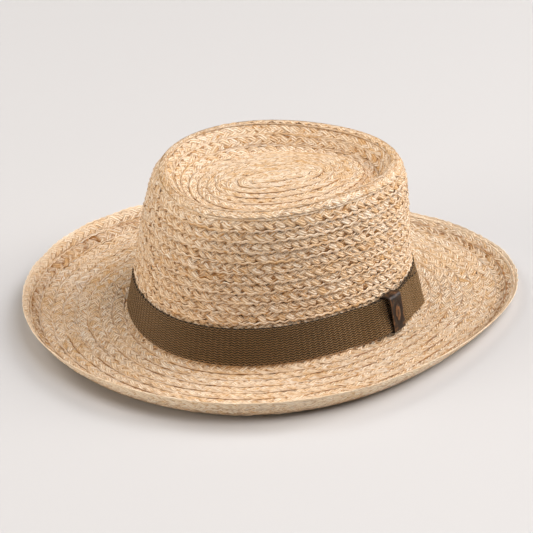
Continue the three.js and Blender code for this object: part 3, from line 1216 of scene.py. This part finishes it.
@dataclass
class LeatherKeeper:
    """The keeper: a flat strap closed to a loop round the band and its tail."""

    surface: HatSurface
    band: WebbingBand
    finish: PullUpLeather = PullUpLeather()
    # The loop: how much deeper it is at its top, how far it slants aside, how far it
    # reaches past the band's edges, and the radius of its outer bends.
    width: float = 12.5
    depth: float = 8.7
    wedge: float = 4.4
    skew: float = 3.0
    lip: float = 1.9
    corner: float = 2.8
    # The strap's rounded edges, its pillowed and rippled outer face, and its rim, worn paler and with
    # a painted highlight.
    edge: float = 0.45
    bevel: float = 0.12
    pillow: float = 0.3
    ripple: float = 0.10
    rim: float = 0.5
    rim_reach: float = 0.35
    # The pressed oval ring: its half width and half height, its depth, and the widths of
    # its line and of the raised ring inside it, as shares of the oval.
    mark_width: float = 3.3
    mark_height: float = 8.5
    mark_depth: float = 0.45
    mark_line: float = 0.2
    raised_place: float = 0.55
    raised_line: float = 0.25
    # How many points lie across and along the strap.
    face_columns: int = 25
    back_columns: int = 7
    corner_steps: int = 9
    face_steps: int = 64
    end_steps: int = 8

    def build(self) -> None:
        """Builds the loop and sets it on the wall."""
        angle = math.radians(self.band.keeper_angle)
        low, high, round_by = self.surface.point(
            np.array([self.surface.wall_place(self.band.bottom),
                      self.surface.wall_place(self.band.top),
                      self.surface.wall_place(self.band.bottom)]),
            np.array([angle, angle, angle + 0.01]),
        )
        up = unit(high - low)
        out = unit(np.cross(unit(round_by - low), up))
        side = unit(np.cross(out, up))
        rise = float(np.linalg.norm(high - low))
        path, facing = self.loop(rise + 2 * self.lip)
        # Round the strap's section: where each point lies across, and out of its middle.
        thickness = self.band.leather
        half = self.width / 2
        flat = half - self.edge
        rounded = np.array([half - self.bevel, half, half - self.bevel])
        x = np.concatenate([
            np.linspace(-flat, flat, self.face_columns), rounded,
            np.linspace(flat, -flat, self.back_columns), -rounded,
        ])[None, :]
        rounded = np.array([0.36, 0.0, -0.36])
        r = thickness * np.concatenate([
            np.full(self.face_columns, 0.5), rounded, np.full(self.back_columns, -0.5), -rounded,
        ])[None, :]
        # Only the outer face is pillowed, rippled and pressed.
        outer = r > 0.4 * thickness
        face = np.clip(path[:, 0] - (self.depth - thickness), 0, 1)[:, None]
        pillow = self.pillow * np.cos(np.pi * x / self.width) ** 2 * face
        pillow = np.where(outer, pillow, 0) - self.pillow * face
        ripple = self.ripple * np.sin(0.5 * path[:, 1:2] + 0.35 * x) * face
        above = (path[:, 1:2] - self.lip - rise / 2) / self.mark_height
        oval = np.hypot(x / self.mark_width, above)
        pressed = np.exp(-((oval - 1) / self.mark_line) ** 2) * face
        raised = np.exp(-((oval - self.raised_place) / self.raised_line) ** 2) * face
        reach = r + (r > 0) * (pillow + ripple) - outer * pressed * self.mark_depth
        shape = path[:, None, :] + facing[:, None, :] * reach[..., None]
        away, height = shape[..., 0], shape[..., 1] - self.lip
        away = away + self.wedge * (height / rise - 0.5) * away / self.depth
        slant = x + self.skew * (above * self.mark_height / rise)
        points = low + out * away[..., None] + up * height[..., None] + side * slant[..., None]
        # Worn paler along the rim, inside the ring and over the top bend, dark in the ring. The rim
        # and the raised ring also carry a painted highlight.
        rim = np.exp(-((np.abs(x) - half + self.rim) / self.rim_reach) ** 2) * outer
        bend = np.clip(path[:, 1:2] - rise - self.lip, 0, 1) * 0.1
        wear_and_highlight = 0.55 * rim * face - 0.4 * pressed + 0.45 * raised + bend
        faces = tube_faces(len(path), x.size, closed=True)
        piece = mesh_object(
            "leather_keeper", points.reshape(-1, 3), faces, {"wear_and_highlight": wear_and_highlight.ravel()},
        )
        place_piece(piece, self.finish.material(), Slot.KEEPER, "band_keeper")

    def loop(self, tall: float) -> tuple[np.ndarray, np.ndarray]:
        """The strap's middle line, seen from the side.

        Args:
            tall: the loop's full height.

        Returns:
            Points (out, up) from the loop's inner foot, and the directions that face out.
        """
        thickness = self.band.leather
        left = self.band.gap + thickness / 2
        right = self.depth - thickness / 2
        low = thickness / 2
        high = tall - thickness / 2
        radius = self.corner - thickness / 2
        corners = [
            (right - radius, low + radius, -90), (right - radius, high - radius, 0),
            (left + radius, high - radius, 90), (left + radius, low + radius, 180),
        ]
        arcs = []
        for x, y, start in corners:
            sweep = np.radians(np.linspace(start, start + 90, self.corner_steps))
            normals = np.stack([np.cos(sweep), np.sin(sweep)], axis=1)
            arcs.append((np.array([x, y]) + radius * normals, normals))
        points, facing = [], []
        for i, (arc, normals) in enumerate(arcs):
            ahead = arcs[(i + 1) % 4][0][0]
            steps = self.face_steps if i % 2 == 0 else self.end_steps
            points.extend([arc, np.linspace(arc[-1], ahead, steps + 2)[1:-1]])
            facing.extend([normals, np.repeat(normals[-1:], steps, axis=0)])
        return np.concatenate(points), np.concatenate(facing)


@dataclass(frozen=True)
class Lamp:
    """A square softbox that faces the hat. Its place and size are in metres."""

    name: str
    place: Triple
    power: float
    size: float
    colour: str


@dataclass
class Studio:
    """The floor, the light and the camera. All lengths here are in metres."""

    floor_size: float = 14.0
    floor_colour: str = "#CACACA"
    floor_roughness: float = 0.9
    sky_colour: str = "#FFFBF6"
    sky_strength: float = 0.06
    lamps: tuple[Lamp, ...] = (
        Lamp("key", (1.8, 0.5, 3.3), 62.0, 1.8, "#FFFCFF"),
        Lamp("right_fill", (0.6, 3.3, 1.7), 84.0, 2.5, "#FFF6EC"),
        Lamp("right_near", (1.6, 2.2, 2.75), 29.0, 1.8, "#FFFBF6"),
        Lamp("right_top", (-0.1, 2.4, 3.0), 50.0, 1.8, "#FFFCFF"),
        Lamp("left_fill", (0.3, -3.3, 1.0), 62.0, 2.0, "#FFF2E2"),
        Lamp("left_back", (-1.6, -1.8, 2.6), 45.0, 1.8, "#FFFBF8"),
    )
    # The camera's angles are in degrees, round from behind the hat to its right, and up.
    azimuth: float = 70.0
    elevation: float = 28.3
    distance: float = 1.8
    target: Triple = (0.0, -0.0015, 0.0514)
    sensor: float = 36.0
    lens: float = 172.96
    shift: tuple[float, float] = (-0.0119, -0.0444)

    def build(self) -> None:
        """Sets up the floor, the sky, the lamps and the camera."""
        bpy.context.scene.view_settings.view_transform = "Standard"
        half = self.floor_size / 2
        mesh = bpy.data.meshes.new("studio_floor")
        corners = [(-half, -half, 0), (half, -half, 0), (half, half, 0), (-half, half, 0)]
        mesh.from_pydata(corners, [], [(0, 1, 2, 3)])
        paper = {"Base Color": linear(self.floor_colour), "Roughness": self.floor_roughness}
        mesh.materials.append(new_material("matt_paper", paper)[0])
        floor = add_object("studio_floor", mesh)
        world = bpy.data.worlds.new("soft_sky")
        bpy.context.scene.world = world
        world.use_nodes = True
        sky = world.node_tree.nodes["Background"]
        sky.inputs["Color"].default_value = linear(self.sky_colour)
        sky.inputs["Strength"].default_value = self.sky_strength
        for lamp in self.lamps:
            light = bpy.data.lights.new(lamp.name, "AREA")
            light.energy = lamp.power
            light.size = lamp.size
            light.color = linear(lamp.colour)[:3]
            place = Vector(lamp.place)
            self.aim(add_object(lamp.name, light), place, place - Vector(self.target))
        self.set_camera()

    def aim(self, thing: bpy.types.Object, place: Vector, back: Vector) -> None:
        """Puts a lamp or a camera in its place and turns it to the hat.

        Args:
            thing: the lamp's or the camera's object.
            place: its place in metres.
            back: the direction from the hat to it.
        """
        thing.location = place
        thing.rotation_mode = "QUATERNION"
        thing.rotation_quaternion = back.to_track_quat("Z", "Y")

    def set_camera(self) -> None:
        """Sets up the camera."""
        az = math.radians(self.azimuth)
        el = math.radians(self.elevation)
        back = Vector((math.sin(az) * math.cos(el), -math.cos(az) * math.cos(el), math.sin(el)))
        lens = bpy.data.cameras.new("camera")
        lens.sensor_width = self.sensor
        lens.lens = self.lens
        lens.shift_x, lens.shift_y = self.shift
        camera = add_object("camera", lens)
        self.aim(camera, Vector(self.target) + back * self.distance, back)
        bpy.context.scene.camera = camera


def main() -> None:
    """Builds the hat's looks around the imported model."""
    logging.basicConfig(level=logging.INFO, format="%(name)s %(message)s")
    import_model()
    Studio().build()
    surface = HatSurface()
    RaffiaBraid(surface).build()
    band = WebbingBand(surface)
    band.build()
    LeatherKeeper(surface, band).build()


if __name__ == "__main__":
    main()
